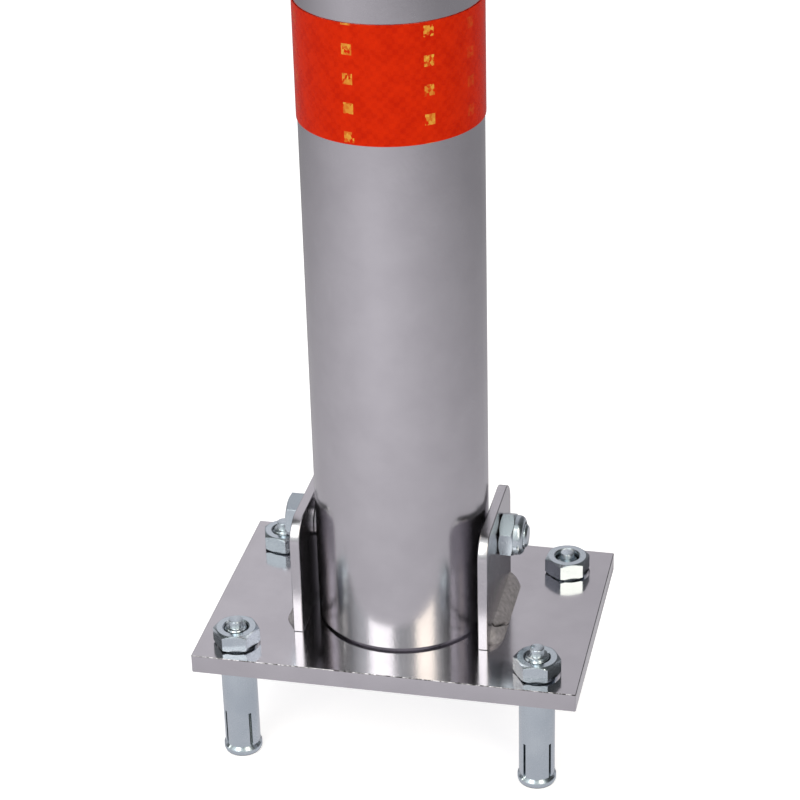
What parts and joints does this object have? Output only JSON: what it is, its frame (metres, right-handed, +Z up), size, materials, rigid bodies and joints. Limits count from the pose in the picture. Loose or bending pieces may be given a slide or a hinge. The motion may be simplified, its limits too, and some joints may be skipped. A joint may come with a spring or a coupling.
{
  "type": "lockable fold-down parking bollard",
  "caption": "Stainless tube post that folds down between welded hinge ears on a bolted base plate, with sleeve anchors, a key-driven shoot bolt and a reflective band.",
  "frame": {"origin": "on the post's axis, on the underside of the base plate", "axes": "+Z up along the post, -Y towards the front, the post folds down towards +Y about a bolt along X"},
  "size_m": [0.16, 0.11, 0.7114],
  "materials": {
    "plate_steel": "brushed, nearly mirror bright",
    "ear_steel": "bright with rounded edges",
    "weld_steel": "dull, rippled weld metal",
    "tube_steel": "satin polished",
    "zinc_steel": "blue zinc plate",
    "lock_chrome": "polished plate",
    "lock_brass": "satin",
    "nylon": "translucent white nylon",
    "reflective_sheet": "red-orange prismatic sheet"
  },
  "bodies": {
    "base": {"base_plate": "plate_steel", "ear_left": "ear_steel", "ear_right": "ear_steel", "weld_left": "weld_steel", "weld_right": "weld_steel", "hinge_bolt": "zinc_steel", "hinge_washer": "zinc_steel", "hinge_locknut": "zinc_steel", "locknut_insert": "nylon", "anchor_sleeve_left_front": "zinc_steel", "anchor_stud_left_front": "zinc_steel", "anchor_nut_left_front": "zinc_steel", "anchor_sleeve_right_front": "zinc_steel", "anchor_stud_right_front": "zinc_steel", "anchor_nut_right_front": "zinc_steel", "anchor_sleeve_left_rear": "zinc_steel", "anchor_stud_left_rear": "zinc_steel", "anchor_nut_left_rear": "zinc_steel", "anchor_sleeve_right_rear": "zinc_steel", "anchor_stud_right_rear": "zinc_steel", "anchor_nut_right_rear": "zinc_steel"},
    "post": {"post_tube": "tube_steel", "pivot_bush": "tube_steel", "top_cap": "tube_steel", "reflective_band": "reflective_sheet", "lock_boss": "tube_steel", "lock_barrel": "lock_chrome", "barrel_nut": "zinc_steel", "bolt_guide_low": "plate_steel", "bolt_guide_high": "plate_steel", "cover_rivet": "lock_chrome"},
    "lock_core": {"lock_plug": "lock_brass", "drive_cam": "zinc_steel", "cam_screw": "zinc_steel"},
    "bolt": {"shoot_bolt": "plate_steel"},
    "cover": {"keyhole_cover": "lock_chrome"}
  },
  "joints": [
    {"name": "post_fold", "type": "hinge", "parent": "base", "child": "post", "pos_m": [0, 0.0035, 0.045], "axis": [-1, 0, 0], "range_deg": [0, 90]},
    {"name": "lock_turn", "type": "hinge", "parent": "post", "child": "lock_core", "pos_m": [0, 0.0385, 0.123], "axis": [0, 1, 0], "range_deg": [0, 90]},
    {"name": "bolt_slide", "type": "slide", "parent": "post", "child": "bolt", "axis": [0, 0, -1], "range_m": [0, 0.01697]},
    {"name": "cover_swing", "type": "hinge", "parent": "post", "child": "cover", "pos_m": [0, 0.0386, 0.1353], "axis": [0, 1, 0], "range_deg": [-120, 120]}
  ],
  "couplings": [
    {"joint": "lock_turn", "follows": "bolt_slide", "rad_per_m": 92.56}
  ]
}
